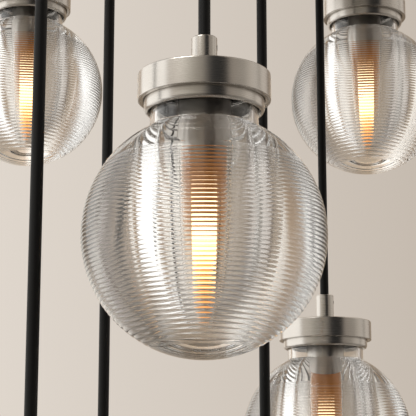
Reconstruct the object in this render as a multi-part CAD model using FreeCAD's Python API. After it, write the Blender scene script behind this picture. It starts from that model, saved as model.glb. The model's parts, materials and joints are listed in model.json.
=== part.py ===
"""Cluster pendant: seven solid glass globes on black cords under one round ceiling canopy.

Millimetres. The origin is the centre of the canopy on the ceiling plane, +Z points up, and the
globes hang below it. Each globe is a solid ball of clear glass with a bullet-shaped hollow for
the lamp. Its neck is clamped between a screwed ring and a rubber gasket under a turned cap.
"""

import FreeCAD, Part
import math
import os

V = FreeCAD.Vector
UP = V(0, 0, 1)

# Where each pendant hangs, from the canopy's centre, and the drop from ceiling to globe centre.
PENDANTS = {
    "pendant_1": (8, -210, 450),
    "pendant_2": (-141, 217, 245),
    "pendant_3": (142, 218, 252),
    "pendant_4": (98, 144, 533),
    "pendant_5": (-75, -230, 685),
    "pendant_6": (-51, -85, 800),
    "pendant_7": (44, -60, 675),
}

# Flex
cord_diameter = 6.4
cord_clearance = 0.1

# Glass globe
globe_diameter = 125.0
neck_diameter = 56.0
rim_diameter = 60.0
rim_height = 7.8
neck_height = 11.4
hollow_diameter = 29.2
hollow_straight_to = 40.0
# below there the hollow narrows to its rounded tip: height from the globe's centre, diameter
hollow_shoulder = (8.0, 25.8)
hollow_nose = (-20.0, 19.4)
hollow_tip = -35.8

# Clamping ring, gasket and cap
ring_lip_height = 2.9
ring_lip_clearance = 0.4
ring_diameter = 62.5
ring_bevel = 2.0
ring_rim_clearance = 0.3
thread_clearance = 0.15
gasket_thickness = 2.1
gasket_width = 5.5
cap_diameter = 69.0
cap_height = 14.2
cap_top_thickness = 2.5
cap_thread_depth = 6.6
cap_shoulder_width = 5.0
cap_top_bevel = 0.9
cap_rim_bevel = 0.5

# Cord grip on its threaded nipple
nipple_diameter = 10.0
nipple_bore = 7.0
nipple_in_grip = 9.8
nipple_in_holder = 6.0
nipple_clearance = 0.1
grip_diameter = 13.4
grip_height = 20.4
grip_chamfer = 0.8
grip_screw_diameter = 3.0
grip_screw_height = 15.0

# Lamp holder: a plated sleeve with the socket inside
sleeve_diameter = 27.6
sleeve_wall = 1.0
sleeve_length = 49.6
sleeve_open_depth = 19.0
socket_depth = 21.0

# Lamp: tubular glass envelope, glowing core on a stem, screw base
lamp_base_diameter = 13.9
lamp_base_clearance = 0.15
lamp_base_height = 22.0
lamp_diameter = 16.0
lamp_wall = 0.8
lamp_length = 81.0
lamp_shoulder = 3.0
core_diameter = 13.1
core_top = 14.0
core_end_clearance = 3.0
stem_diameter = 4.0

# Canopy pan
canopy_diameter = 580.0
canopy_depth = 50.0
canopy_wall = 1.5
canopy_bevel = 3.0

# Bushings that the cords leave by, with the locknuts above the pan
bushing_flange_diameter = 20.0
bushing_drop = 8.0
bushing_bevel = 2.5
bushing_stem_diameter = 12.0
bushing_stem_length = 12.0
bushing_flare_diameter = 9.6
pivot_below_pan = 4.0
locknut_across_flats = 17.0
locknut_thickness = 5.0
bushing_hole_clearance = 0.2

# Ceiling bracket: four arms with turned-down tabs, and the screws that carry the pan
bracket_thickness = 3.0
arm_width = 30.0
tab_height = 28.0
tab_clearance = 0.5
ceiling_hole_diameter = 6.5
ceiling_hole_circle = 300.0
box_slot_width = 5.0
box_slot_length = 12.0
box_slot_spacing = 89.0
wire_hole_diameter = 20.0
box_hole_diameter = 26.0
hub_diameter = 130.0
pan_screw_diameter = 5.0
pan_screw_clearance = 0.25
pan_screw_head_diameter = 10.0
pan_screw_head_height = 3.5
pan_screw_below_ceiling = 18.0
pan_screw_past_tab = 4.0

# Terminal box and the cord tails that run to it
box_length = 200.0
box_width = 50.0
box_height = 28.0
box_wall = 2.0
tail_bend_radius = 16.0
tail_below_ceiling = 17.0
# where each tail enters the box: along it, and on its front (-1) or back (+1) side
TAIL_ENTRIES = {
    "pendant_1": (10, -1),
    "pendant_2": (-60, 1),
    "pendant_3": (80, 1),
    "pendant_4": (45, 1),
    "pendant_5": (-75, -1),
    "pendant_6": (-40, -1),
    "pendant_7": (50, -1),
}

# Worked out from the sizes above; heights are from the globe's centre
globe_r = globe_diameter / 2
neck_r = neck_diameter / 2
rim_r = rim_diameter / 2
hollow_r = hollow_diameter / 2
neck_start = math.sqrt(globe_r**2 - neck_r**2)
rim_bottom = neck_start + neck_height
rim_top = rim_bottom + rim_height
cap_shoulder = rim_top + gasket_thickness
cap_bottom = cap_shoulder - cap_thread_depth
cap_top = cap_bottom + cap_height
cap_ceiling = cap_top - cap_top_thickness
ring_r = ring_diameter / 2
ring_bottom = rim_bottom - ring_lip_height
cap_bore_r = ring_r + thread_clearance
nipple_hole_r = nipple_diameter / 2 + nipple_clearance
cord_r = cord_diameter / 2
cord_hole_r = cord_r + cord_clearance
nipple_top = cap_top + nipple_in_grip
cord_bottom = nipple_top + 0.5
lamp_seat = cap_ceiling - sleeve_length + sleeve_open_depth
lamp_base_bottom = lamp_seat + socket_depth - lamp_base_height
lamp_bottom = lamp_base_bottom - lamp_length
pivot_z = -canopy_depth - pivot_below_pan


def turned(profile):
    """A solid turned about Z from (radius, height) corners in order."""
    corners = [V(r, 0, z) for r, z in profile]
    return Part.Face(Part.makePolygon(corners + corners[:1])).revolve(V(), UP, 360)


def turned_edges(edges):
    """A solid turned about Z from joined edges in the XZ plane."""
    return Part.Face(Part.Wire(edges)).revolve(V(), UP, 360)


def line(a, b):
    return Part.makeLine(V(a[0], 0, a[1]), V(b[0], 0, b[1]))


def arc(a, middle, b):
    return Part.Arc(*[V(r, 0, z) for r, z in (a, middle, b)]).toShape()


def rod(radius, low, high, at=(0, 0)):
    return Part.makeCylinder(radius, high - low, V(at[0], at[1], low))


def near(a, b):
    return abs(a - b) < 0.01


def glass_globe():
    """Solid ball with a neck, a clamping rim and a bullet-shaped hollow down its middle."""
    turn = math.pi / 4
    belly = (globe_r * math.cos(turn), -globe_r * math.sin(turn))
    outside = [
        arc((0, -globe_r), belly, (neck_r, neck_start)),
        line((neck_r, neck_start), (neck_r, rim_bottom)),
        line((neck_r, rim_bottom), (rim_r, rim_bottom)),
        line((rim_r, rim_bottom), (rim_r, rim_top)),
        line((rim_r, rim_top), (hollow_r, rim_top)),
        line((hollow_r, rim_top), (hollow_r, hollow_straight_to)),
    ]
    stations = [(hollow_straight_to, hollow_diameter), hollow_shoulder, hollow_nose, (hollow_tip, 0)]
    wall = Part.BSplineCurve()
    wall.interpolate(
        Points=[V(across / 2, 0, height) for height, across in stations],
        InitialTangent=V(0, 0, -1),
        FinalTangent=V(-1, 0, 0),
    )
    axis = line((0, hollow_tip), (0, -globe_r))
    return turned_edges(outside + [wall.toShape(), axis])


def retaining_ring():
    """Threaded ring whose lip carries the glass rim."""
    inside = neck_r + ring_lip_clearance
    bore = rim_r + ring_rim_clearance
    top = cap_shoulder - thread_clearance
    return turned(
        [
            (inside, ring_bottom),
            (ring_r - ring_bevel, ring_bottom),
            (ring_r, ring_bottom + ring_bevel),
            (ring_r, top),
            (bore, top),
            (bore, rim_bottom),
            (inside, rim_bottom),
        ]
    )


def gasket():
    return rod(rim_r, rim_top, cap_shoulder).cut(
        rod(rim_r - gasket_width, rim_top, cap_shoulder)
    )


def cap():
    """Turned cup: threaded mouth, shoulder for the gasket, hole for the nipple."""
    cap_r = cap_diameter / 2
    inner_r = cap_bore_r - cap_shoulder_width
    return turned(
        [
            (cap_bore_r, cap_bottom),
            (cap_r - cap_rim_bevel, cap_bottom),
            (cap_r, cap_bottom + cap_rim_bevel),
            (cap_r, cap_top - cap_top_bevel),
            (cap_r - cap_top_bevel, cap_top),
            (nipple_hole_r, cap_top),
            (nipple_hole_r, cap_ceiling),
            (inner_r, cap_ceiling),
            (inner_r, cap_shoulder),
            (cap_bore_r, cap_shoulder),
        ]
    )


def cord_grip():
    """Ferrule over the nipple, with the nipple and the side screw that holds the cord."""
    top = cap_top + grip_height
    grip_r = grip_diameter / 2
    screw_z = cap_top + grip_screw_height
    screw_r = grip_screw_diameter / 2
    ferrule = turned(
        [
            (nipple_hole_r, cap_top),
            (grip_r, cap_top),
            (grip_r, top - grip_chamfer),
            (grip_r - grip_chamfer, top),
            (cord_hole_r, top),
            (cord_hole_r, nipple_top),
            (nipple_hole_r, nipple_top),
        ]
    )
    ferrule = ferrule.cut(Part.makeCylinder(screw_r, grip_r, V(0, 0, screw_z), V(1, 0, 0)))
    nipple = rod(nipple_diameter / 2, cap_ceiling - nipple_in_holder, nipple_top).cut(
        rod(nipple_bore / 2, cap_ceiling - nipple_in_holder, nipple_top)
    )
    screw = Part.makeCylinder(
        screw_r - nipple_clearance,
        grip_r - cord_hole_r,
        V(cord_hole_r, 0, screw_z),
        V(1, 0, 0),
    )
    return Part.makeCompound([ferrule, nipple, screw])


def lamp_holder():
    """Plated sleeve, open below, with the socket bored for the lamp's base."""
    bottom = cap_ceiling - sleeve_length
    sleeve_r = sleeve_diameter / 2
    socket_r = lamp_base_diameter / 2 + lamp_base_clearance
    return turned(
        [
            (sleeve_r - sleeve_wall, bottom),
            (sleeve_r, bottom),
            (sleeve_r, cap_ceiling),
            (nipple_hole_r, cap_ceiling),
            (nipple_hole_r, lamp_seat + socket_depth),
            (socket_r, lamp_seat + socket_depth),
            (socket_r, lamp_seat),
            (sleeve_r - sleeve_wall, lamp_seat),
        ]
    )


def round_ended(radius, top, bottom):
    """A rod whose lower end is a half ball."""
    middle = bottom + radius
    turn = math.pi / 4
    end = arc(
        (radius, middle),
        (radius * math.cos(turn), middle - radius * math.sin(turn)),
        (0, bottom),
    )
    return turned_edges(
        [
            line((0, top), (radius, top)),
            line((radius, top), (radius, middle)),
            end,
            line((0, bottom), (0, top)),
        ]
    )


def lamp():
    """Tubular lamp: glass envelope, glowing core on its stem, and screw base."""
    base_r = lamp_base_diameter / 2
    tube_r = lamp_diameter / 2
    tube_top = lamp_base_bottom - lamp_shoulder
    shoulder = turned(
        [(0, tube_top), (tube_r, tube_top), (base_r, lamp_base_bottom), (0, lamp_base_bottom)]
    )
    envelope = round_ended(tube_r, tube_top, lamp_bottom).fuse(shoulder)
    inside = round_ended(tube_r - lamp_wall, tube_top, lamp_bottom + lamp_wall)
    inside = inside.fuse(rod(base_r - lamp_wall, tube_top, lamp_base_bottom))
    core = round_ended(core_diameter / 2, core_top, lamp_bottom + core_end_clearance)
    core = core.fuse(rod(stem_diameter / 2, core_top, lamp_base_bottom))
    base = rod(base_r, lamp_base_bottom, lamp_base_bottom + lamp_base_height)
    return Part.makeCompound([envelope.cut(inside).removeSplitter(), core, base])


def cord(drop):
    """Straight flex from the swing point in its bushing to inside the cord grip."""
    return rod(cord_r, cord_bottom, pivot_z + drop)


def bushing(x, y):
    """Bushing with a flared mouth that lets the cord swing, and its locknut on the stem."""
    pan_inside = -canopy_depth + canopy_wall
    stem_top = -canopy_depth + bushing_stem_length
    bottom = -canopy_depth - bushing_drop
    flange_r = bushing_flange_diameter / 2
    stem_r = bushing_stem_diameter / 2
    body = turned(
        [
            (cord_hole_r, stem_top),
            (cord_hole_r, pivot_z),
            (bushing_flare_diameter / 2, bottom),
            (flange_r - bushing_bevel, bottom),
            (flange_r, bottom + bushing_bevel),
            (flange_r, -canopy_depth),
            (stem_r, -canopy_depth),
            (stem_r, stem_top),
        ]
    )
    nut_r = locknut_across_flats / math.sqrt(3)
    corners = [
        V(nut_r * math.cos(math.radians(a)), nut_r * math.sin(math.radians(a)), pan_inside)
        for a in range(0, 360, 60)
    ]
    nut = Part.Face(Part.makePolygon(corners + corners[:1])).extrude(V(0, 0, locknut_thickness))
    nut = nut.cut(rod(stem_r, pan_inside, pan_inside + locknut_thickness))
    for solid in (body, nut):
        solid.translate(V(x, y, 0))
    return [body, nut]


def tail_line(name):
    """The tail's centre line: up out of the bushing, round a bend, and level into the box."""
    x, y, _ = PENDANTS[name]
    along, side = TAIL_ENTRIES[name]
    bottom = V(x, y, -canopy_depth)
    corner = V(x, y, -tail_below_ceiling)
    entry = V(along, side * (box_width / 2 - box_wall), -tail_below_ceiling)
    level = (entry - corner).normalize()
    below = corner - UP * tail_bend_radius
    beside = corner + level * tail_bend_radius
    centre = below + level * tail_bend_radius
    middle = centre + (UP - level).normalize() * tail_bend_radius
    return bottom, below, middle, beside, entry


def tail(name):
    bottom, below, middle, beside, entry = tail_line(name)
    up = Part.makeCylinder(cord_r, (below - bottom).Length, bottom)
    level = Part.makeCylinder(cord_r, (entry - beside).Length, beside, entry - beside)
    path = Part.Wire([Part.Arc(below, middle, beside).toShape()])
    section = Part.Wire([Part.makeCircle(cord_r, below, UP)])
    bend = path.makePipeShell([section], True, False)
    return up.fuse([bend, level]).removeSplitter()


def wiring_box():
    """Terminal box under the bracket, with the cord tails that enter its sides."""
    top = -bracket_thickness
    box = Part.makeBox(
        box_length, box_width, box_height, V(-box_length / 2, -box_width / 2, top - box_height)
    )
    box = box.cut(
        Part.makeBox(
            box_length - 2 * box_wall,
            box_width - 2 * box_wall,
            box_height - 2 * box_wall,
            V(-box_length / 2 + box_wall, -box_width / 2 + box_wall, top - box_height + box_wall),
        )
    )
    box = box.cut(rod(box_hole_diameter / 2, top - box_wall, top))
    tails = []
    for name in PENDANTS:
        _, _, _, beside, entry = tail_line(name)
        level = (entry - beside).normalize()
        hole = Part.makeCylinder(cord_hole_r, 6 * box_wall, entry - level * 4 * box_wall, level)
        box = box.cut(hole)
        tails.append(tail(name))
    return Part.makeCompound([box] + tails)


def quarter_turns(solid):
    """The solid and its copies a quarter, a half and three quarters round the canopy."""
    copies = []
    for step in range(4):
        copy = solid.copy()
        copy.rotate(V(), UP, 90 * step)
        copies.append(copy)
    return copies


def canopy_pan():
    """Spun pan with its open side to the ceiling, bored for the bushings and side screws."""
    pan_r = canopy_diameter / 2
    inner_r = pan_r - canopy_wall
    inner_bevel = canopy_bevel - canopy_wall * (2 - math.sqrt(2))
    pan = turned(
        [
            (0, -canopy_depth),
            (pan_r - canopy_bevel, -canopy_depth),
            (pan_r, -canopy_depth + canopy_bevel),
            (pan_r, 0),
            (inner_r, 0),
            (inner_r, -canopy_depth + canopy_wall + inner_bevel),
            (inner_r - inner_bevel, -canopy_depth + canopy_wall),
            (0, -canopy_depth + canopy_wall),
        ]
    )
    hole_r = bushing_stem_diameter / 2 + bushing_hole_clearance
    for x, y, _ in PENDANTS.values():
        pan = pan.cut(rod(hole_r, -canopy_depth, -canopy_depth + canopy_wall, (x, y)))
    screw_hole = Part.makeCylinder(
        pan_screw_diameter / 2 + pan_screw_clearance,
        4 * canopy_wall,
        V(pan_r - 3 * canopy_wall, 0, -pan_screw_below_ceiling),
        V(1, 0, 0),
    )
    return pan.cut(quarter_turns(screw_hole))


def ceiling_bracket():
    """Cross-shaped steel bracket on a round hub, with the four screws that carry the pan."""
    pan_inner_r = canopy_diameter / 2 - canopy_wall
    tab_face = pan_inner_r - tab_clearance
    screw_r = pan_screw_diameter / 2
    arm = Part.makeBox(
        tab_face, arm_width, bracket_thickness, V(0, -arm_width / 2, -bracket_thickness)
    )
    tab = Part.makeBox(
        bracket_thickness, arm_width, tab_height, V(tab_face - bracket_thickness, -arm_width / 2, -tab_height)
    )
    bracket = rod(hub_diameter / 2, -bracket_thickness, 0).fuse(
        quarter_turns(arm) + quarter_turns(tab)
    )
    ceiling_hole = rod(
        ceiling_hole_diameter / 2, -bracket_thickness, 0, (ceiling_hole_circle / 2, 0)
    )
    tapped_hole = Part.makeCylinder(
        screw_r,
        4 * bracket_thickness,
        V(tab_face - 2 * bracket_thickness, 0, -pan_screw_below_ceiling),
        V(1, 0, 0),
    )
    bracket = bracket.cut(quarter_turns(ceiling_hole) + quarter_turns(tapped_hole))
    bracket = bracket.cut(rod(wire_hole_diameter / 2, -bracket_thickness, 0))
    slot_r = box_slot_width / 2
    straight = box_slot_length - box_slot_width
    for side in (-1, 1):
        y = side * box_slot_spacing / 2
        ends = [
            rod(slot_r, -bracket_thickness, 0, (0, y + end * straight / 2)) for end in (-1, 1)
        ]
        middle = Part.makeBox(
            box_slot_width, straight, bracket_thickness, V(-slot_r, y - straight / 2, -bracket_thickness)
        )
        bracket = bracket.cut(ends + [middle])
    outside = canopy_diameter / 2
    shank_start = tab_face - bracket_thickness - pan_screw_past_tab
    at = V(shank_start, 0, -pan_screw_below_ceiling)
    shank = Part.makeCylinder(screw_r, outside - shank_start, at, V(1, 0, 0))
    head = Part.makeCylinder(
        pan_screw_head_diameter / 2,
        pan_screw_head_height,
        V(outside, 0, -pan_screw_below_ceiling),
        V(1, 0, 0),
    )
    screw = shank.fuse(head).removeSplitter()
    return Part.makeCompound([bracket.removeSplitter()] + quarter_turns(screw))


def save(name, shape):
    shape.exportStep(os.path.join("parts", name + ".step"))


def main():
    os.makedirs("parts", exist_ok=True)
    save("canopy_pan", canopy_pan())
    save("ceiling_bracket", ceiling_bracket())
    save("wiring_box", wiring_box())
    bushings = []
    for x, y, _ in PENDANTS.values():
        bushings += bushing(x, y)
    save("cord_bushings", Part.makeCompound(bushings))

    pieces = {
        "cord_grip": cord_grip(),
        "cap": cap(),
        "gasket": gasket(),
        "retaining_ring": retaining_ring(),
        "glass_globe": glass_globe(),
        "lamp_holder": lamp_holder(),
        "lamp": lamp(),
    }
    for name, (x, y, drop) in PENDANTS.items():
        for piece, shape in {"cord": cord(drop), **pieces}.items():
            placed = shape.copy()
            placed.translate(V(x, y, -drop))
            save(f"{name}_{piece}", placed)


main()
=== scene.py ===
"""Cluster pendant: seven solid glass globes on black cords under one round ceiling canopy.

Metres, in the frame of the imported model: the origin is the centre of the canopy on the ceiling
plane and +Z points up. Every globe, cap and lamp is turned from an outline about its own upright
axis, and each pendant gets a copy of it at the place that the frame gives.
"""

import json
import math

import bmesh
import bpy
from mathutils import Matrix, Vector
from mathutils.geometry import interpolate_bezier


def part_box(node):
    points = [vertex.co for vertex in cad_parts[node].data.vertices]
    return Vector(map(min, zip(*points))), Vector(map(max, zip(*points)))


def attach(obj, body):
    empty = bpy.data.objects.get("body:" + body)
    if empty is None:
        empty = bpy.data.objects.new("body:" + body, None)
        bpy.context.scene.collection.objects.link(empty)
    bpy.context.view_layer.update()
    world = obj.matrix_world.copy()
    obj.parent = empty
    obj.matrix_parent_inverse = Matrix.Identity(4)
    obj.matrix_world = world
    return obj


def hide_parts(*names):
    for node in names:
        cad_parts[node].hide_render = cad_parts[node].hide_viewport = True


MM = 0.001
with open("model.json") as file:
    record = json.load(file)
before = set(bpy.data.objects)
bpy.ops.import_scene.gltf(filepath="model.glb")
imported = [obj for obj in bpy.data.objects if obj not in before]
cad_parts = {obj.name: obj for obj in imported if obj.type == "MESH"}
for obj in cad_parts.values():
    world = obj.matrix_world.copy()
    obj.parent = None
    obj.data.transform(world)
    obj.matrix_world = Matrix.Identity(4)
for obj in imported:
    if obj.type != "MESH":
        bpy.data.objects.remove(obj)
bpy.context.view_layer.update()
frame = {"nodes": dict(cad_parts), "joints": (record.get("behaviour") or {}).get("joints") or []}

# Outlines, in millimetres from the globe's centre and axis
GLOBE_RADIUS = 62.5
NECK_RADIUS = 28.0
RIM_RADIUS = 30.0
NECK_HEIGHT = 11.4
RIM_HEIGHT = 7.8
HOLLOW = [(24.8, 30.0), (26.7, 8.0), (24.7, -10.0), (16.5, -25.0), (0.0, -36.0)]
RIBS = 43
RIBS_TOP = 34.4
RIBS_BOTTOM = -55.8
RIB_DEPTH = 0.42
RIB_STEPS = 8
HOLLOW_STEPS = 14

RING_RADIUS = 31.25
RING_LIP = 2.9
RING_LIP_EDGE = 0.87
RING_LIP_CHAMFER = 1.2
RING_FOOT = 1.9
RING_FOOT_CORNER = 0.6
RING_TO_NECK = 0.4
RING_TO_RIM = 0.3
THREAD_CLEARANCE = 0.15
CAP_RADIUS = 34.5
CAP_HEIGHT = 14.2
CAP_THREAD_DEPTH = 6.6
CAP_SHOULDER = 5.0
CAP_TOP_THICKNESS = 2.5
CAP_MOUTH_BEVEL = 0.5
CAP_TOP_BEVEL = 0.9
GASKET_THICKNESS = 2.1
NIPPLE_RADIUS = 5.0
NIPPLE_BORE_RADIUS = 3.5
NIPPLE_IN_GRIP = 9.8
NIPPLE_IN_CAP = 6.0
CLEARANCE = 0.1
GRIP_RADIUS = 6.7
GRIP_HEIGHT = 20.4
GRIP_SCREW_RADIUS = 1.5
GRIP_SCREW_HEIGHT = 15.0
GRIP_SCREW_SOCKET = (0.75, 1.2)
GRIP_SCREW_PROUD = 0.15
CORD_RADIUS = 3.2
SLEEVE_RADIUS = 13.8
SLEEVE_LENGTH = 49.6
SLEEVE_WALL = 1.0
SLEEVE_OPEN = 19.0
SOCKET_DEPTH = 21.0
LAMP_BASE_RADIUS = 6.95
LAMP_BASE_HEIGHT = 22.0
LAMP_BASE_CLEARANCE = 0.15
LAMP_THREAD_TURNS = 7
LAMP_THREAD_DEPTH = 0.7
LAMP_THREAD_START = 2.0
LAMP_WALL = 0.8
LAMP_SHOULDER = 5.0
LAMP = [(12.6, 18.0), (12.2, 2.0), (8.5, -18.0), (0.0, -30.0)]
CORE_TOP = 8.0
CORE = [(6.6, 6.0), (6.2, -2.0), (6.2, -10.0), (5.0, -19.0), (0.0, -27.0)]
GLOW_BOTTOM = -25.0
HOLDER_RADIUS = 11.6
STEM_RADIUS = 2.0

# Terminal box and cord tails in the canopy, in the canopy's frame
BOX = (200.0, 50.0, 28.0)
BOX_TOP = -3.0
BOX_LID = 6.0
BOX_WALL = 2.0
BOX_EDGE = 1.6
BOX_SEAM = 0.35
BOX_STEP = 0.8
BOX_SCREW_INSET = 8.0
BOX_SCREW_RADII = (2.6, 3.0)
BOX_SCREW_HEAD = 1.4
BOX_SCREW_SLOT = (4.4, 0.7, 0.12)
GROMMET_WALL = 1.6
# how far a grommet reaches into the box and out of it
GROMMET_REACH = (1.0, 2.6)
TAIL_BEND = 16.0
TAIL_HEIGHT = -17.0
TAIL_START = -50.0
TAIL_ENTRIES = {
    "pendant_1": (10, -1),
    "pendant_2": (-60, 1),
    "pendant_3": (80, 1),
    "pendant_4": (45, 1),
    "pendant_5": (-75, -1),
    "pendant_6": (-40, -1),
    "pendant_7": (50, -1),
}

# Heights worked out from these, from the globe's centre
NECK_START = math.sqrt(GLOBE_RADIUS**2 - NECK_RADIUS**2)
RIM_BOTTOM = NECK_START + NECK_HEIGHT
RIM_TOP = RIM_BOTTOM + RIM_HEIGHT
CAP_SEAT = RIM_TOP + GASKET_THICKNESS
CAP_BOTTOM = CAP_SEAT - CAP_THREAD_DEPTH
CAP_TOP = CAP_BOTTOM + CAP_HEIGHT
CAP_CEILING = CAP_TOP - CAP_TOP_THICKNESS
GRIP_TOP = CAP_TOP + GRIP_HEIGHT
NIPPLE_TOP = CAP_TOP + NIPPLE_IN_GRIP
NIPPLE_BOTTOM = CAP_CEILING - NIPPLE_IN_CAP
NIPPLE_HOLE_RADIUS = NIPPLE_RADIUS + CLEARANCE
SLEEVE_BOTTOM = CAP_CEILING - SLEEVE_LENGTH
LAMP_SEAT = SLEEVE_BOTTOM + SLEEVE_OPEN
LAMP_BASE_BOTTOM = LAMP_SEAT + SOCKET_DEPTH - LAMP_BASE_HEIGHT
LAMP_TOP = LAMP_BASE_BOTTOM - LAMP_SHOULDER

TURN_STEPS = 96
SMALL_TURN_STEPS = 48

# Camera: millimetres from the near globe's centre
CAMERA_FROM_GLOBE = Vector((1.9, -695.9, -133.4))
CAMERA_PITCH = math.radians(12)
CAMERA_LENS = 121.15
SENSOR_WIDTH = 36.0

# Floor and backdrop
FLOOR_HEIGHT = -1.5
FLOOR_RADIUS = 12.0
FLOOR_FADE = (3.0, 10.0)
FLOOR = (0.60, 0.56, 0.51)
# painted light on the backdrop: lighter on the window side at the left, darker to the right
BACKDROP_LIT_LEFT = (0.83, 0.765, 0.695)
BACKDROP_SHADED_RIGHT = (0.47, 0.405, 0.34)
BACKDROP_REACH = 0.3


# ---------------------------------------------------------------- meshes


def turned(outline, closed=True, steps=TURN_STEPS):
    """A form turned about the upright axis from (radius, height) points in millimetres."""
    form = bmesh.new()
    points = [form.verts.new((radius * MM, 0, height * MM)) for radius, height in outline]
    ends = points[1:] + points[:1] if closed else points[1:]
    edges = [form.edges.new(pair) for pair in zip(points, ends)]
    bmesh.ops.spin(
        form,
        geom=points + edges,
        cent=(0, 0, 0),
        axis=(0, 0, 1),
        angle=math.tau,
        steps=steps,
        use_merge=True,
        use_duplicate=False,
    )
    bmesh.ops.remove_doubles(form, verts=form.verts, dist=0.0005 * MM)
    bmesh.ops.recalc_face_normals(form, faces=form.faces)
    return form


def soften(form, width, low=-1000.0, high=1000.0, corner=40, segments=3):
    """Rounds the ring edges that turn by more than corner degrees between two heights (mm)."""
    sharp = [
        edge
        for edge in form.edges
        if len(edge.link_faces) == 2
        and edge.calc_face_angle(0) > math.radians(corner)
        and low * MM <= min(v.co.z for v in edge.verts)
        and max(v.co.z for v in edge.verts) <= high * MM
    ]
    bmesh.ops.bevel(
        form,
        geom=sharp,
        offset=width * MM,
        offset_type="OFFSET",
        affect="EDGES",
        segments=segments,
        profile=0.5,
        material=-1,
        clamp_overlap=True,
    )
    return form


def wrap(form):
    """A map with the turn about the axis across (radians) and the way along the outline up (metres)."""
    layer = form.loops.layers.uv.new("wrap")
    for face in form.faces:
        middle = face.calc_center_median()
        face_turn = math.atan2(middle.x, -middle.y)
        for loop in face.loops:
            x, y, z = loop.vert.co
            from_axis = math.hypot(x, y)
            turn = math.atan2(x, -y) if from_axis > MM * 0.01 else face_turn
            if turn - face_turn > math.pi:
                turn -= math.tau
            elif turn - face_turn < -math.pi:
                turn += math.tau
            loop[layer].uv = (turn, z - from_axis)
    return form


def finished_mesh(name, form):
    mesh = bpy.data.meshes.new(name)
    form.to_mesh(mesh)
    form.free()
    mesh.shade_smooth()
    return mesh


def placed(name, mesh, at, body, material, stands_for=()):
    """A copy of the mesh with its centre at a point, riding on a body."""
    copy = mesh.copy()
    copy.name = name
    copy.transform(Matrix.Translation(at))
    piece = bpy.data.objects.new(name, copy)
    bpy.context.scene.collection.objects.link(piece)
    copy.materials.clear()
    copy.materials.append(material)
    even = piece.modifiers.new("even_normals", "WEIGHTED_NORMAL")
    even.keep_sharp = True
    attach(piece, body)
    if stands_for:
        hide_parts(*stands_for)
    return piece


def curve_through(points, start, end, steps):
    """Points on a smooth line through (radius, height) points, from a start way to an end way."""
    stops = [Vector((r, h, 0)) for r, h in points]
    ways = [Vector((*start, 0)).normalized()]
    for before, after in zip(stops, stops[2:]):
        ways.append((after - before).normalized())
    ways.append(Vector((*end, 0)).normalized())
    line = []
    for a, b, way_a, way_b in zip(stops, stops[1:], ways, ways[1:]):
        reach = (b - a).length / 3
        part = interpolate_bezier(a, a + way_a * reach, b - way_b * reach, b, steps)
        line += [(p.x, p.y) for p in part[:-1]]
    return line + [points[-1]]


def narrowing(stations, steps, inset=0.0):
    """A line down through (radius, height) stations to a round tip, drawn in by an inset."""
    points = [(radius - inset, height) for radius, height in stations[:-1]]
    points.append((0.0, stations[-1][1] + inset))
    return curve_through(points, (0, -1), (-1, 0), steps)


def round_arc(radius, height, start, end, steps):
    """Points on a circle about a point on the axis, from one latitude to another, in degrees."""
    turns = [math.radians(start + (end - start) * i / steps) for i in range(steps + 1)]
    return [(radius * math.cos(t), height + radius * math.sin(t)) for t in turns]


# ---------------------------------------------------------------- the glass


def on_ball(height, depth):
    """The place on the ball's skin at a height, a little under its surface."""
    latitude = math.asin(height / GLOBE_RADIUS)
    return Vector((math.cos(latitude), math.sin(latitude))) * (GLOBE_RADIUS - depth)


def ribs():
    """Rounded level ribs of equal height, with sharp valleys between them."""
    pitch = (RIBS_TOP - RIBS_BOTTOM) / RIBS
    points = []
    for rib in range(RIBS):
        low = on_ball(RIBS_BOTTOM + pitch * rib, RIB_DEPTH)
        high = on_ball(RIBS_BOTTOM + pitch * (rib + 1), RIB_DEPTH)
        half = (high - low).length / 2
        out = Vector((high.y - low.y, low.x - high.x)).normalized()
        radius = (half**2 + RIB_DEPTH**2) / (2 * RIB_DEPTH)
        middle = (low + high) / 2 + out * (RIB_DEPTH - radius)
        sweep = math.asin(half / radius)
        for step in range(RIB_STEPS):
            turn = sweep * (2 * step / RIB_STEPS - 1)
            along = (high - low).normalized()
            point = middle + out * radius * math.cos(turn) + along * radius * math.sin(turn)
            points.append(tuple(point))
    return points + [tuple(on_ball(RIBS_TOP, RIB_DEPTH))]


def glass_globe():
    """Solid ball with ribs, a clear shoulder, a neck with its clamping rim, and the lamp's hollow."""
    rib_start = math.degrees(math.asin(RIBS_BOTTOM / GLOBE_RADIUS))
    rib_end = math.degrees(math.asin(RIBS_TOP / GLOBE_RADIUS))
    neck = math.degrees(math.acos(NECK_RADIUS / GLOBE_RADIUS))
    outline = round_arc(GLOBE_RADIUS, 0, -90, rib_start - 1, 12)
    outline += ribs()
    outline += round_arc(GLOBE_RADIUS, 0, rib_end + 0.5, neck, 14)
    outline += [
        (NECK_RADIUS, RIM_BOTTOM),
        (RIM_RADIUS, RIM_BOTTOM),
        (RIM_RADIUS, RIM_TOP),
        (HOLLOW[0][0], RIM_TOP),
    ]
    outline += narrowing(HOLLOW, HOLLOW_STEPS)
    form = turned(outline, closed=False)
    soften(form, 0.6, low=NECK_START - 1, corner=25)
    return finished_mesh("glass_globe", form)


# ---------------------------------------------------------------- cap, ring and grip


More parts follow.
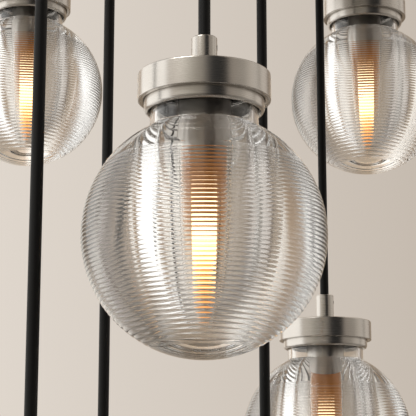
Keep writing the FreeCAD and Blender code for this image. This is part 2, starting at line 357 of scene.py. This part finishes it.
def cap():
    """Turned cap with a shoulder above its thread and a hole for the nipple."""
    bore = RING_RADIUS + THREAD_CLEARANCE
    outline = [
        (bore, CAP_BOTTOM + CAP_MOUTH_BEVEL),
        (bore + CAP_MOUTH_BEVEL, CAP_BOTTOM),
        (CAP_RADIUS, CAP_BOTTOM),
        (CAP_RADIUS, CAP_TOP),
        (NIPPLE_HOLE_RADIUS, CAP_TOP),
        (NIPPLE_HOLE_RADIUS, CAP_CEILING),
        (bore - CAP_SHOULDER, CAP_CEILING),
        (bore - CAP_SHOULDER, CAP_SEAT),
        (bore, CAP_SEAT),
    ]
    form = turned(outline)
    soften(form, CAP_TOP_BEVEL, low=CAP_TOP - 0.1, corner=60)
    soften(form, CAP_MOUTH_BEVEL, high=CAP_BOTTOM + 0.1, corner=60)
    return finished_mesh("cap", wrap(form))


def retaining_ring():
    """Ring that screws into the cap, with a lip under the glass rim and a rounded foot."""
    inside = NECK_RADIUS + RING_TO_NECK
    bore = RIM_RADIUS + RING_TO_RIM
    foot = RIM_BOTTOM - RING_LIP
    top = CAP_SEAT - THREAD_CLEARANCE
    outline = [
        (inside, RIM_BOTTOM - RING_LIP_EDGE),
        (inside + RING_LIP_CHAMFER, foot),
        (RING_RADIUS - RING_FOOT, foot),
        (RING_RADIUS - RING_FOOT_CORNER, foot + RING_FOOT_CORNER),
        (RING_RADIUS, foot + RING_FOOT),
        (RING_RADIUS, top),
        (bore, top),
        (bore, RIM_BOTTOM),
        (inside, RIM_BOTTOM),
    ]
    form = turned(outline)
    soften(form, 0.3, corner=50)
    return finished_mesh("retaining_ring", wrap(form))


def ferrule():
    """The cord grip's outer sleeve, wide below for the nipple and narrow above for the cord."""
    cord_hole = CORD_RADIUS + CLEARANCE
    outline = [
        (NIPPLE_HOLE_RADIUS, CAP_TOP),
        (GRIP_RADIUS, CAP_TOP),
        (GRIP_RADIUS, GRIP_TOP),
        (cord_hole, GRIP_TOP),
        (cord_hole, NIPPLE_TOP),
        (NIPPLE_HOLE_RADIUS, NIPPLE_TOP),
    ]
    form = turned(outline, steps=SMALL_TURN_STEPS)
    soften(form, 0.8, low=GRIP_TOP - 0.1, corner=60)
    return finished_mesh("ferrule", wrap(form))


def grip_screw():
    """Headless side screw with a socket in its end, standing just proud of the ferrule."""
    length = GRIP_RADIUS - CORD_RADIUS
    socket, depth = GRIP_SCREW_SOCKET
    outline = [
        (0, 0),
        (GRIP_SCREW_RADIUS, 0),
        (GRIP_SCREW_RADIUS, length),
        (socket, length),
        (socket, length - depth),
        (0, length - depth),
    ]
    form = turned(outline, closed=False, steps=SMALL_TURN_STEPS)
    soften(form, 0.2, low=length - 0.1, corner=60)
    lie = Matrix.Rotation(math.pi / 2, 4, "Y")
    at = Vector((CORD_RADIUS + GRIP_SCREW_PROUD, 0, CAP_TOP + GRIP_SCREW_HEIGHT)) * MM
    bmesh.ops.transform(form, matrix=Matrix.Translation(at) @ lie, verts=form.verts)
    return finished_mesh("grip_screw", form)


def nipple():
    """Hollow rod that joins the grip, the cap and the lamp sleeve."""
    outline = [
        (NIPPLE_BORE_RADIUS, NIPPLE_BOTTOM),
        (NIPPLE_RADIUS, NIPPLE_BOTTOM),
        (NIPPLE_RADIUS, NIPPLE_TOP),
        (NIPPLE_BORE_RADIUS, NIPPLE_TOP),
    ]
    form = turned(outline, steps=SMALL_TURN_STEPS)
    return finished_mesh("nipple", wrap(form))


# ---------------------------------------------------------------- lamp


def lamp_sleeve():
    """Sleeve open below, closed above by the holder that takes the lamp's base."""
    inside = SLEEVE_RADIUS - SLEEVE_WALL
    socket = LAMP_BASE_RADIUS + LAMP_BASE_CLEARANCE
    socket_top = LAMP_SEAT + SOCKET_DEPTH
    outline = [
        (inside, SLEEVE_BOTTOM),
        (SLEEVE_RADIUS, SLEEVE_BOTTOM),
        (SLEEVE_RADIUS, CAP_CEILING),
        (NIPPLE_HOLE_RADIUS, CAP_CEILING),
        (NIPPLE_HOLE_RADIUS, socket_top),
        (socket, socket_top),
        (socket, LAMP_SEAT),
        (inside, LAMP_SEAT),
    ]
    form = turned(outline)
    soften(form, 0.25, high=SLEEVE_BOTTOM + 0.1, corner=60)
    return finished_mesh("lamp_sleeve", wrap(form))


def lamp_envelope():
    """Thin bullet-shaped glass, drawn in to the base at its upper end."""
    outline = list(reversed(narrowing(LAMP, 12)))
    outline += [
        (LAMP[0][0], LAMP_TOP),
        (LAMP_BASE_RADIUS, LAMP_BASE_BOTTOM),
        (LAMP_BASE_RADIUS - LAMP_WALL, LAMP_BASE_BOTTOM),
        (LAMP[0][0] - LAMP_WALL, LAMP_TOP - 0.2),
    ]
    outline += narrowing(LAMP, 12, LAMP_WALL)
    form = turned(outline, closed=False, steps=64)
    return finished_mesh("lamp_envelope", form)


def lamp_core():
    """The glowing body of the lamp, narrowing to a round tip."""
    outline = list(reversed(narrowing(CORE, 10)))
    outline += [(CORE[0][0], CORE_TOP), (0, CORE_TOP)]
    form = turned(outline, closed=False, steps=SMALL_TURN_STEPS)
    return finished_mesh("lamp_core", wrap(form))


def lamp_holder():
    """Amber body that carries the core inside the lamp."""
    top = LAMP_TOP - LAMP_WALL
    outline = [(0, CORE_TOP), (HOLDER_RADIUS, CORE_TOP), (HOLDER_RADIUS, top), (0, top)]
    form = turned(outline, closed=False, steps=SMALL_TURN_STEPS)
    soften(form, 1.2, corner=60)
    return finished_mesh("lamp_holder", wrap(form))


def lamp_stem():
    """Thin rod between the holder and the screw base."""
    outline = [
        (0, LAMP_TOP - LAMP_WALL),
        (STEM_RADIUS, LAMP_TOP - LAMP_WALL),
        (STEM_RADIUS, LAMP_BASE_BOTTOM),
        (0, LAMP_BASE_BOTTOM),
    ]
    return finished_mesh("lamp_stem", turned(outline, closed=False, steps=SMALL_TURN_STEPS))


def lamp_base():
    """Screw base: a rounded thread in a plain shell."""
    outline = [(0, LAMP_BASE_BOTTOM)]
    pitch = (LAMP_BASE_HEIGHT - 2 * LAMP_THREAD_START) / LAMP_THREAD_TURNS
    for step in range(LAMP_THREAD_TURNS * 6 + 1):
        wave = math.cos(math.tau * step / 6)
        radius = LAMP_BASE_RADIUS - LAMP_THREAD_DEPTH / 2 * (1 - wave)
        outline.append((radius, LAMP_BASE_BOTTOM + LAMP_THREAD_START + pitch * step / 6))
    top = LAMP_BASE_BOTTOM + LAMP_BASE_HEIGHT
    outline += [(LAMP_BASE_RADIUS * 0.6, top), (0, top)]
    return finished_mesh("lamp_base", turned(outline, closed=False, steps=SMALL_TURN_STEPS))


# ---------------------------------------------------------------- materials


class Finish:
    """A new material with a Principled shader and short calls for its nodes."""

    def __init__(self, name, **values):
        self.material = bpy.data.materials.new(name)
        self.material.use_nodes = True
        self.nodes = self.material.node_tree.nodes
        self.links = self.material.node_tree.links
        self.shader = self.nodes["Principled BSDF"]
        for socket, value in values.items():
            self.shader.inputs[socket.replace("_", " ")].default_value = value

    def node(self, kind, settings=None, **values):
        """A node with settings on it and values or other nodes' outputs on its named sockets."""
        made = self.nodes.new("ShaderNode" + kind)
        for key, value in (settings or {}).items():
            setattr(made, key, value)
        for socket, value in values.items():
            self.put(made, socket.replace("_", " "), value)
        return made

    def put(self, node, socket, value):
        """Puts a value or a link on a socket by its name, or by its number as in0 or in1."""
        numbered = socket.startswith("in") and socket[2:].isdigit()
        entry = node.inputs[int(socket[2:]) if numbered else socket]
        if isinstance(value, bpy.types.NodeSocket):
            self.links.new(value, entry)
        else:
            entry.default_value = value

    def feed(self, socket, value):
        self.links.new(value, self.shader.inputs[socket])

    def place(self):
        return self.nodes.new("ShaderNodeTexCoord").outputs["Object"]

    def blend(self, share, low, high):
        """A number or colour between low and high by a share from 0 to 1."""
        spread = self.node("MapRange", None, Value=share, To_Min=low, To_Max=high)
        return spread.outputs["Result"]

    def bump(self, height, strength, distance):
        raised = self.node("Bump", None, Height=height, Strength=strength, Distance=distance)
        self.feed("Normal", raised.outputs["Normal"])


def brushed_nickel(name, smooth, rough):
    """Spun nickel: fine rings round the axis, a little uneven, warm grey."""
    f = Finish(name, Metallic=1.0, Anisotropic=0.55, Anisotropic_Rotation=0.25)
    wrap_map = f.node("UVMap", {"uv_map": "wrap"}).outputs["UV"]
    along = f.node("SeparateXYZ", None, Vector=wrap_map).outputs["Y"]
    one_way = {"noise_dimensions": "1D"}
    rings = f.node("TexNoise", one_way, W=along, Scale=5200.0, Detail=3.0, Roughness=0.7)
    clouds = f.node("TexNoise", None, Vector=f.place(), Scale=60.0, Detail=3.0)
    tangent = f.node("Tangent", {"direction_type": "UV_MAP", "uv_map": "wrap"})
    f.feed("Tangent", tangent.outputs["Tangent"])
    f.feed("Roughness", f.blend(rings.outputs["Fac"], smooth, rough))
    tone = f.node("ValToRGB", None, Fac=clouds.outputs["Fac"])
    tone.color_ramp.elements[0].color = (0.62, 0.585, 0.545, 1)
    tone.color_ramp.elements[1].color = (0.72, 0.69, 0.65, 1)
    f.feed("Base Color", tone.outputs["Color"])
    f.bump(rings.outputs["Fac"], 0.12, 0.00004)
    return f.material


def globe_glass():
    """Solid pressed glass, clear, with the faint waves of a pressed surface."""
    f = Finish("globe_glass", Base_Color=(1, 1, 1, 1), IOR=1.5, Transmission_Weight=1.0)
    waves = f.node("TexNoise", None, Vector=f.place(), Scale=35.0, Detail=2.0)
    f.feed("Roughness", f.blend(waves.outputs["Fac"], 0.0, 0.012))
    f.bump(waves.outputs["Fac"], 0.04, 0.0002)
    return f.material


def lamp_glass():
    f = Finish("lamp_glass", Base_Color=(1.0, 0.955, 0.89, 1), IOR=1.47, Transmission_Weight=1.0)
    mist = f.node("TexNoise", None, Vector=f.place(), Scale=120.0, Detail=2.0)
    f.feed("Roughness", f.blend(mist.outputs["Fac"], 0.0, 0.06))
    return f.material


def amber_glass():
    """Amber glass with the lamp's light painted into it: a painted glow, brighter towards the glowing
    core.
    """
    f = Finish("amber_glass", Base_Color=(0.36, 0.17, 0.07, 1), Roughness=0.22)
    wrap_map = f.node("UVMap", {"uv_map": "wrap"}).outputs["UV"]
    along = f.node("SeparateXYZ", None, Vector=wrap_map).outputs["Y"]
    low, high = (CORE_TOP - HOLDER_RADIUS) * MM, (SLEEVE_BOTTOM - HOLDER_RADIUS) * MM
    rise = f.node("MapRange", None, Value=along, From_Min=low, From_Max=high)
    light = f.node("ValToRGB", None, Fac=rise.outputs["Result"])
    light.color_ramp.elements[0].color = (0.80, 0.36, 0.11, 1)
    light.color_ramp.elements[1].color = (0.30, 0.11, 0.03, 1)
    # painted glow: emission colour by height and strength in noise patches stand for the core's light
    # through the amber
    painted_glow_patches = f.node("TexNoise", None, Vector=f.place(), Scale=110.0, Detail=2.0)
    f.feed("Emission Color", light.outputs["Color"])
    f.feed("Emission Strength", f.blend(painted_glow_patches.outputs["Fac"], 0.1, 0.7))
    return f.material


def lamp_glow():
    """Warm white light that turns orange towards the lower tip, slightly grained."""
    f = Finish("lamp_glow", Base_Color=(1.0, 0.75, 0.45, 1), Roughness=0.6)
    wrap_map = f.node("UVMap", {"uv_map": "wrap"}).outputs["UV"]
    along = f.node("SeparateXYZ", None, Vector=wrap_map).outputs["Y"]
    low, high = GLOW_BOTTOM * MM, CORE_TOP * MM
    rise = f.node("MapRange", None, Value=along, From_Min=low, From_Max=high)
    light = f.node("ValToRGB", None, Fac=rise.outputs["Result"])
    stops = light.color_ramp.elements
    stops[0].color = (0.50, 0.19, 0.05, 1)
    stops[1].color = (1.0, 0.84, 0.58, 1)
    stops.new(0.1).color = (0.8, 0.38, 0.12, 1)
    stops.new(0.24).color = (1.0, 0.70, 0.36, 1)
    stops.new(0.4).color = (1.0, 0.84, 0.56, 1)
    grains = f.node("TexNoise", None, Vector=f.place(), Scale=900.0, Detail=2.0)
    f.feed("Emission Color", light.outputs["Color"])
    f.feed("Emission Strength", f.blend(grains.outputs["Fac"], 1.8, 3.0))
    return f.material


def textile_flex():
    """Black braided cover: two sets of threads that cross."""
    f = Finish("flex", Roughness=0.55)
    f.shader.inputs["Sheen Weight"].default_value = 0.05
    f.shader.inputs["Specular IOR Level"].default_value = 0.25
    place = f.place()
    fibres = f.node("TexNoise", None, Vector=place, Scale=1500.0, Detail=2.0)
    tone = f.node("ValToRGB", None, Fac=fibres.outputs["Fac"])
    tone.color_ramp.elements[0].color = (0.0015, 0.0015, 0.0016, 1)
    tone.color_ramp.elements[1].color = (0.006, 0.006, 0.0065, 1)
    f.feed("Base Color", tone.outputs["Color"])
    f.bump(fibres.outputs["Fac"], 0.3, 0.0002)
    return f.material


def dull_steel():
    """Zinc-plated sheet, mottled."""
    f = Finish("bracket_steel", Metallic=1.0)
    spangle = f.node("TexVoronoi", None, Vector=f.place(), Scale=140.0)
    f.feed("Roughness", f.blend(spangle.outputs["Distance"], 0.32, 0.5))
    tone = f.node("ValToRGB", None, Fac=spangle.outputs["Distance"])
    tone.color_ramp.elements[0].color = (0.5, 0.51, 0.52, 1)
    tone.color_ramp.elements[1].color = (0.64, 0.65, 0.66, 1)
    f.feed("Base Color", tone.outputs["Color"])
    return f.material


def moulded(name, dark, light, roughness):
    """Moulded plastic or rubber with a fine grain."""
    f = Finish(name, Roughness=roughness)
    grain = f.node("TexNoise", None, Vector=f.place(), Scale=1800.0, Detail=2.0)
    tone = f.node("ValToRGB", None, Fac=grain.outputs["Fac"])
    tone.color_ramp.elements[0].color = (*dark, 1)
    tone.color_ramp.elements[1].color = (*light, 1)
    f.feed("Base Color", tone.outputs["Color"])
    f.bump(grain.outputs["Fac"], 0.2, 0.00005)
    return f.material


def satin_pan():
    """Nickel-plated pan, spun: rings about the canopy's own centre."""
    f = Finish("pan_nickel", Metallic=1.0)
    place = f.place()
    flat = f.node("VectorMath", {"operation": "MULTIPLY"}, in0=place, in1=(1, 1, 0))
    radius = f.node("VectorMath", {"operation": "LENGTH"}, in0=flat.outputs["Vector"])
    height = f.node("SeparateXYZ", None, Vector=place).outputs["Z"]
    along = f.node("Math", {"operation": "SUBTRACT"}, in0=height, in1=radius.outputs["Value"])
    one_way = {"noise_dimensions": "1D"}
    rings = f.node("TexNoise", one_way, W=along.outputs[0], Scale=3000.0, Detail=3.0)
    clouds = f.node("TexNoise", None, Vector=place, Scale=12.0, Detail=3.0)
    f.feed("Roughness", f.blend(rings.outputs["Fac"], 0.26, 0.4))
    tone = f.node("ValToRGB", None, Fac=clouds.outputs["Fac"])
    tone.color_ramp.elements[0].color = (0.60, 0.57, 0.53, 1)
    tone.color_ramp.elements[1].color = (0.70, 0.67, 0.63, 1)
    f.feed("Base Color", tone.outputs["Color"])
    f.bump(rings.outputs["Fac"], 0.1, 0.00005)
    return f.material


# ---------------------------------------------------------------- cords


def hanging_cord(name, top, bottom, body, material, stands_for):
    """A straight round flex between two points, as one smooth spline."""
    line = bpy.data.curves.new(name, "CURVE")
    line.dimensions = "3D"
    line.bevel_depth = CORD_RADIUS * MM
    line.bevel_resolution = 6
    line.use_fill_caps = True
    spline = line.splines.new("NURBS")
    stops = [top, (top + bottom) / 2, bottom]
    spline.points.add(len(stops) - 1)
    for point, stop in zip(spline.points, stops):
        point.co = (*stop, 1)
    spline.order_u = 3
    spline.use_endpoint_u = True
    spline.resolution_u = 12
    piece = bpy.data.objects.new(name, line)
    bpy.context.scene.collection.objects.link(piece)
    line.materials.append(material)
    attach(piece, body)
    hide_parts(stands_for)
    return piece


# ---------------------------------------------------------------- canopy wiring


def rounded_box(form, low, high, width):
    """Adds a box with rounded edges between two corners, in millimetres."""
    made = bmesh.ops.create_cube(form, size=1)["verts"]
    low, high = Vector(low), Vector(high)
    for vert in made:
        share = vert.co + Vector((0.5, 0.5, 0.5))
        vert.co = Vector([a + (b - a) * t for a, b, t in zip(low, high, share)]) * MM
    edges = {edge for vert in made for edge in vert.link_edges}
    bmesh.ops.bevel(
        form,
        geom=list(edges),
        offset=width * MM,
        offset_type="OFFSET",
        affect="EDGES",
        segments=3,
        profile=0.5,
    )


def swept(form, points, radius, sides=20):
    """Adds a round tube along points in metres, with flat ends."""
    rings = []
    across = None
    for index, point in enumerate(points):
        before, after = points[max(index - 1, 0)], points[min(index + 1, len(points) - 1)]
        way = (after - before).normalized()
        if across is None:
            across = way.orthogonal().normalized()
        across = (across - way * across.dot(way)).normalized()
        side = way.cross(across)
        rings.append(
            [
                form.verts.new(point + (across * math.cos(t) + side * math.sin(t)) * radius * MM)
                for t in (math.tau * k / sides for k in range(sides))
            ]
        )
    for low, high in zip(rings, rings[1:]):
        for k in range(sides):
            form.faces.new((low[k], low[(k + 1) % sides], high[(k + 1) % sides], high[k]))
    form.faces.new(list(reversed(rings[0])))
    form.faces.new(rings[-1])


def tail_path(name, x, y):
    """Up out of the bushing, round a bend and level into the side of the box, in metres."""
    along, side = TAIL_ENTRIES[name]
    corner = Vector((x, y, TAIL_HEIGHT * MM))
    entry = Vector((along * MM, side * (BOX[1] / 2 - BOX_WALL) * MM, TAIL_HEIGHT * MM))
    level = (entry - corner).normalized()
    up = Vector((0, 0, 1))
    centre = corner + (level - up) * TAIL_BEND * MM
    bend = [
        centre + (up * math.sin(t) - level * math.cos(t)) * TAIL_BEND * MM
        for t in (math.pi / 2 * k / 12 for k in range(13))
    ]
    return [Vector((x, y, TAIL_START * MM))] + bend + [entry]


def terminal_box():
    """Moulded box in two halves with a seam between them."""
    form = bmesh.new()
    half = Vector(BOX) / 2
    bottom = BOX_TOP - BOX[2]
    seam = bottom + BOX_LID
    inner = half - Vector((BOX_STEP, BOX_STEP, 0))
    rounded_box(form, (-half.x, -half.y, seam + BOX_SEAM), (half.x, half.y, BOX_TOP), BOX_EDGE)
    rounded_box(form, (-inner.x, -inner.y, seam - 0.5), (inner.x, inner.y, seam + 1), 0.2)
    rounded_box(form, (-half.x, -half.y, bottom), (half.x, half.y, seam - BOX_SEAM), BOX_EDGE)
    return form


def box_screws():
    """Four screws in the lid, each with a bar that marks its slot."""
    form = bmesh.new()
    bottom = BOX_TOP - BOX[2]
    low, high = BOX_SCREW_RADII
    slot = Matrix.Diagonal((*(size * MM for size in BOX_SCREW_SLOT), 1))
    slot_drop = Vector((0, 0, (BOX_SCREW_HEAD / 2 + 0.05) * MM))
    for across in (-1, 1):
        for along in (-1, 1):
            x = along * (BOX[0] / 2 - BOX_SCREW_INSET)
            y = across * (BOX[1] / 2 - BOX_SCREW_INSET)
            at = Vector((x, y, bottom)) * MM
            bmesh.ops.create_cone(
                form,
                cap_ends=True,
                segments=32,
                radius1=low * MM,
                radius2=high * MM,
                depth=BOX_SCREW_HEAD * MM,
                matrix=Matrix.Translation(at),
            )
            bmesh.ops.create_cube(form, size=1, matrix=Matrix.Translation(at - slot_drop) @ slot)
    return form


def canopy_piece(name, form, material, stands_for=()):
    """A piece of the canopy's own, made from a form in the canopy's frame."""
    bmesh.ops.recalc_face_normals(form, faces=form.faces)
    return placed(name, finished_mesh(name, form), Vector(), "canopy", material, stands_for)


def canopy_wiring(centres, plastic, rubber, steel, flex):
    """The terminal box with its screws and grommets, and the tails of the seven cords."""
    canopy_piece("terminal_box", terminal_box(), plastic, ["wiring_box"])
    canopy_piece("box_screws", box_screws(), steel)
    tails, grommets = bmesh.new(), bmesh.new()
    inward, outward = (reach * MM for reach in GROMMET_REACH)
    for name, centre in centres.items():
        path = tail_path(name, centre.x, centre.y)
        swept(tails, path, CORD_RADIUS)
        way = (path[-1] - path[-2]).normalized()
        wall = path[-1] - way * (BOX_WALL / abs(way.y)) * MM
        swept(grommets, [wall - way * outward, wall + way * inward], CORD_RADIUS + GROMMET_WALL, 28)
    canopy_piece("cord_tails", tails, flex)
    canopy_piece("cord_grommets", grommets, rubber)


# ---------------------------------------------------------------- stage


def camera(near_globe):
    """The photograph's camera, set from the nearest globe's centre."""
    data = bpy.data.cameras.new("view")
    data.lens = CAMERA_LENS
    data.sensor_width = SENSOR_WIDTH
    eye = bpy.data.objects.new("view", data)
    eye.location = near_globe + CAMERA_FROM_GLOBE * MM
    eye.rotation_euler = (math.pi / 2 + CAMERA_PITCH, 0, 0)
    bpy.context.scene.collection.objects.link(eye)
    bpy.context.scene.camera = eye


# Colour round the room by azimuth, in degrees to the right of straight ahead
ROOM = [
    (-180, (0.31, 0.28, 0.24)),
    (-150, (0.43, 0.4, 0.34)),
    (-120, (0.64, 0.59, 0.53)),
    (-42, (0.64, 0.59, 0.53)),
    (-39, (0.42, 0.30, 0.20)),
    (-30, (0.42, 0.30, 0.20)),
    (-27, (1.03, 0.97, 0.88)),
    (-13, (0.98, 0.91, 0.82)),
    (-7, (0.6, 0.49, 0.39)),
    (2, (0.43, 0.34, 0.25)),
    (33, (0.37, 0.3, 0.23)),
    (36, (0.21, 0.17, 0.14)),
    (41, (0.21, 0.17, 0.14)),
    (44, (0.62, 0.56, 0.5)),
    (66, (0.68, 0.63, 0.57)),
    (69, (0.35, 0.32, 0.28)),
    (74, (0.35, 0.32, 0.28)),
    (77, (0.64, 0.6, 0.55)),
    (94, (0.58, 0.53, 0.47)),
    (108, (0.37, 0.34, 0.3)),
    (134, (0.35, 0.31, 0.27)),
    (142, (0.02, 0.02, 0.02)),
    (168, (0.03, 0.03, 0.03)),
    (180, (0.21, 0.19, 0.17)),
]

# The long soft window on the left, by azimuth, and how far down it reaches, by elevation
WINDOW = [(-180, 0.0), (-118, 0.0), (-110, 1.3), (-43, 1.3), (-39, 0.0), (180, 0.0)]
WINDOW_LEVELS = [(-90, 0.0), (-40, 0.0), (-34, 0.9), (0, 1.0), (90, 1.0)]
WINDOW_TINT = (1.0, 0.98, 0.94)

# How bright each level of the room is, by elevation in degrees
ROOM_LEVELS = [
    (-90, 0.55),
    (-35, 0.5),
    (-12, 0.6),
    (-3, 0.85),
    (2, 1.0),
    (35, 1.05),
    (50, 1.4),
    (90, 1.4),
]


def surroundings():
    """Pale backdrop for the eye with painted light, lighter on the left and darker on the right, and a
    studio room by azimuth for gloss, glass and light.
    """
    world = bpy.data.worlds.new("room")
    bpy.context.scene.world = world
    world.use_nodes = True
    nodes, links = world.node_tree.nodes, world.node_tree.links
    nodes.clear()

    def add(kind, **settings):
        made = nodes.new("ShaderNode" + kind)
        for key, value in settings.items():
            setattr(made, key, value)
        return made

    direction = add("TexCoord").outputs["Generated"]
    parts = add("SeparateXYZ")
    links.new(direction, parts.inputs[0])
    azimuth = add("Math", operation="ARCTAN2")
    links.new(parts.outputs["X"], azimuth.inputs[0])
    links.new(parts.outputs["Y"], azimuth.inputs[1])
    round_the_room = add("MapRange")
    links.new(azimuth.outputs[0], round_the_room.inputs["Value"])
    round_the_room.inputs["From Min"].default_value = -math.pi
    round_the_room.inputs["From Max"].default_value = math.pi
    up_the_room = add("MapRange")
    links.new(parts.outputs["Z"], up_the_room.inputs["Value"])
    up_the_room.inputs["From Min"].default_value = -1
    up_the_room.inputs["From Max"].default_value = 1

    def scale(share, stops):
        """A colour ramp with stops from 0 to 1."""
        ramp = add("ValToRGB")
        links.new(share.outputs["Result"], ramp.inputs["Fac"])
        elements = ramp.color_ramp.elements
        elements.remove(elements[1])
        for index, (at, colour) in enumerate(stops):
            stop = elements[0] if index == 0 else elements.new(at)
            stop.position = at
            stop.color = (*colour, 1)
        return ramp.outputs["Color"]

    def by_azimuth(stops):
        """Colours by azimuth in degrees."""
        return scale(round_the_room, [((angle + 180) / 360, colour) for angle, colour in stops])

    def by_elevation(stops):
        """Greys by elevation in degrees."""
        greys = [(math.sin(math.radians(angle)), [level] * 3) for angle, level in stops]
        return scale(up_the_room, [((rise + 1) / 2, grey) for rise, grey in greys])

    def mixed(kind, one, other):
        """Two colours combined in full."""
        mix = add("MixRGB", blend_type=kind)
        mix.inputs["Fac"].default_value = 1
        links.new(one, mix.inputs["Color1"])
        links.new(other, mix.inputs["Color2"])
        return mix.outputs["Color"]

    walls = mixed("MULTIPLY", by_azimuth(ROOM), by_elevation(ROOM_LEVELS))
    panes = [(angle, [level * tint for tint in WINDOW_TINT]) for angle, level in WINDOW]
    window = mixed("MULTIPLY", by_azimuth(panes), by_elevation(WINDOW_LEVELS))
    room = mixed("LIGHTEN", walls, window)

    # painted light: the backdrop seen by the eye goes from lighter on the left to darker on the right
    eye_painted_falloff = add("ValToRGB")
    across = add("MapRange")
    links.new(parts.outputs["X"], across.inputs["Value"])
    across.inputs["From Min"].default_value = -BACKDROP_REACH
    across.inputs["From Max"].default_value = BACKDROP_REACH
    links.new(across.outputs["Result"], eye_painted_falloff.inputs["Fac"])
    eye_painted_falloff.color_ramp.elements[0].color = (*BACKDROP_LIT_LEFT, 1)
    eye_painted_falloff.color_ramp.elements[1].color = (*BACKDROP_SHADED_RIGHT, 1)

    path = add("LightPath")
    seen = add("Background")
    links.new(eye_painted_falloff.outputs["Color"], seen.inputs["Color"])
    lit = add("Background")
    links.new(room, lit.inputs["Color"])
    both = add("MixShader")
    links.new(path.outputs["Is Camera Ray"], both.inputs[0])
    links.new(lit.outputs[0], both.inputs[1])
    links.new(seen.outputs[0], both.inputs[2])
    output = add("OutputWorld")
    links.new(both.outputs[0], output.inputs["Surface"])


def floor():
    """Pale floor that melts into the backdrop far away."""
    form = bmesh.new()
    bmesh.ops.create_circle(form, cap_ends=True, radius=FLOOR_RADIUS, segments=96)
    bmesh.ops.translate(form, verts=form.verts, vec=(0, 0, FLOOR_HEIGHT))
    ground = bpy.data.objects.new("floor", finished_mesh("floor", form))
    bpy.context.scene.collection.objects.link(ground)
    f = Finish("floor", Roughness=0.8)
    place = f.place()
    marks = f.node("TexNoise", None, Vector=place, Scale=3.0, Detail=4.0)
    tone = f.node("ValToRGB", None, Fac=marks.outputs["Fac"])
    tone.color_ramp.elements[0].color = (*[c * 0.96 for c in FLOOR], 1)
    tone.color_ramp.elements[1].color = (*FLOOR, 1)
    f.feed("Base Color", tone.outputs["Color"])
    radius = f.node("VectorMath", {"operation": "LENGTH"}, in0=place)
    near, far = FLOOR_FADE
    soft = {"interpolation_type": "SMOOTHSTEP"}
    fade = f.node("MapRange", soft, Value=radius.outputs["Value"], From_Min=near, From_Max=far)
    clear = f.node("BsdfTransparent")
    both = f.node("MixShader")
    f.links.new(fade.outputs["Result"], both.inputs[0])
    f.links.new(f.shader.outputs[0], both.inputs[1])
    f.links.new(clear.outputs[0], both.inputs[2])
    f.links.new(both.outputs[0], f.nodes["Material Output"].inputs["Surface"])
    ground.data.materials.append(f.material)
    ground.visible_transmission = False
    ground.visible_glossy = False


def soft_lamp(name, at, towards, size, power, tint):
    """Round area light, in metres and watts."""
    data = bpy.data.lights.new(name, "AREA")
    data.shape = "DISK"
    data.size = size
    data.energy = power
    data.color = tint
    lamp = bpy.data.objects.new(name, data)
    lamp.location = at
    lamp.rotation_euler = (Vector(towards) - Vector(at)).to_track_quat("-Z", "Y").to_euler()
    bpy.context.scene.collection.objects.link(lamp)
    return lamp


# ---------------------------------------------------------------- the object


def build():
    """Dresses the canopy and the seven pendants, and gives back the globes' centres by pendant."""
    nickel = brushed_nickel("nickel", 0.2, 0.34)
    sleeve_nickel = brushed_nickel("sleeve_nickel", 0.24, 0.36)
    glass = globe_glass()
    tube_glass = lamp_glass()
    glow = lamp_glow()
    amber = amber_glass()
    flex = textile_flex()
    steel = dull_steel()
    plastic = moulded("wiring_plastic", (0.70, 0.69, 0.66), (0.80, 0.79, 0.76), 0.45)
    rubber = moulded("rubber_seal", (0.008, 0.008, 0.008), (0.02, 0.02, 0.02), 0.7)
    pan_nickel = satin_pan()

    canopy_finishes = {
        "canopy_pan": pan_nickel,
        "ceiling_bracket": steel,
        "cord_bushings": pan_nickel,
    }
    for node, finish in canopy_finishes.items():
        frame["nodes"][node].data.materials.clear()
        frame["nodes"][node].data.materials.append(finish)

    kinds = [
        ("globe_blown", glass_globe(), "globe_glass", glass, ["glass_globe"]),
        ("cap_turned", cap(), "nickel", nickel, ["cap"]),
        ("ring_turned", retaining_ring(), "nickel", nickel, ["retaining_ring"]),
        ("ferrule", ferrule(), "nickel", nickel, ["cord_grip"]),
        ("nipple", nipple(), "nickel", nickel, []),
        ("grip_screw", grip_screw(), "nickel", steel, []),
        ("lamp_sleeve", lamp_sleeve(), "nickel", sleeve_nickel, ["lamp_holder"]),
        ("lamp_envelope", lamp_envelope(), "lamp_glass", tube_glass, ["lamp"]),
        ("lamp_core", lamp_core(), "lamp_glass", glow, []),
        ("lamp_holder", lamp_holder(), "lamp_glass", amber, []),
        ("lamp_stem", lamp_stem(), "lamp_glass", steel, []),
        ("lamp_base", lamp_base(), "nickel", steel, []),
    ]
    centres = {}
    for joint in frame["joints"]:
        body = joint["child"]
        low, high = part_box(f"{body}_glass_globe")
        centre = Vector(((low.x + high.x) / 2, (low.y + high.y) / 2, low.z + GLOBE_RADIUS * MM))
        centres[body] = centre
        for kind, mesh, slot, finish, stands_for in kinds:
            nodes = [f"{body}_{node}" for node in stands_for]
            placed(f"{body}_{kind}", mesh, centre, body, finish, nodes)
        gasket = frame["nodes"][f"{body}_gasket"]
        gasket.data.materials.clear()
        gasket.data.materials.append(rubber)
        cord_low, cord_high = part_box(f"{body}_cord")
        top = Vector((centre.x, centre.y, cord_high.z))
        bottom = Vector((centre.x, centre.y, cord_low.z))
        hanging_cord(f"{body}_flex", top, bottom, body, flex, f"{body}_cord")
    canopy_wiring(centres, plastic, rubber, steel, flex)
    return centres


camera(build()["pendant_1"])
surroundings()
floor()
soft_lamp("overhead", (-1.2, -1.4, 1.6), (0, 0, -0.4), 1.6, 30, (1.0, 0.98, 0.95))

bpy.context.scene.view_settings.view_transform = "Standard"
bpy.context.scene.cycles.max_bounces = 32
bpy.context.scene.cycles.transmission_bounces = 32
